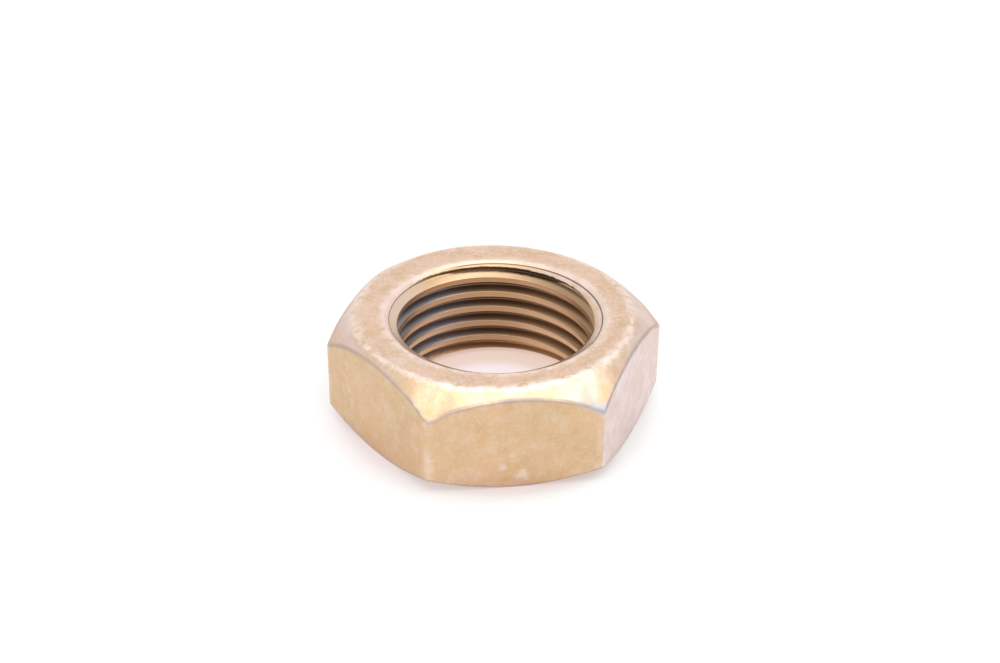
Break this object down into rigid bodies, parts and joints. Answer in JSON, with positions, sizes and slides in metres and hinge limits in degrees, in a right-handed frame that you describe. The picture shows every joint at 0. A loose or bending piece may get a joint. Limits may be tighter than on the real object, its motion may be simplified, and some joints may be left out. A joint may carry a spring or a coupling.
{
  "type": "hex jam nut",
  "caption": "Thin hexagon lock nut, chamfered on both faces, with a fine right-hand thread and a countersink at each end, in yellow zinc plated steel.",
  "frame": {"origin": "centre of the bore at the bottom bearing face", "axes": "+Z along the bore axis from the bottom face to the top face, +X through one corner of the hexagon"},
  "size_m": [0.04, 0.035, 0.0127],
  "materials": {
    "zinc_plated_steel": "satin yellow zinc plating"
  },
  "bodies": {
    "root": {"nut": "zinc_plated_steel"}
  },
  "joints": []
}
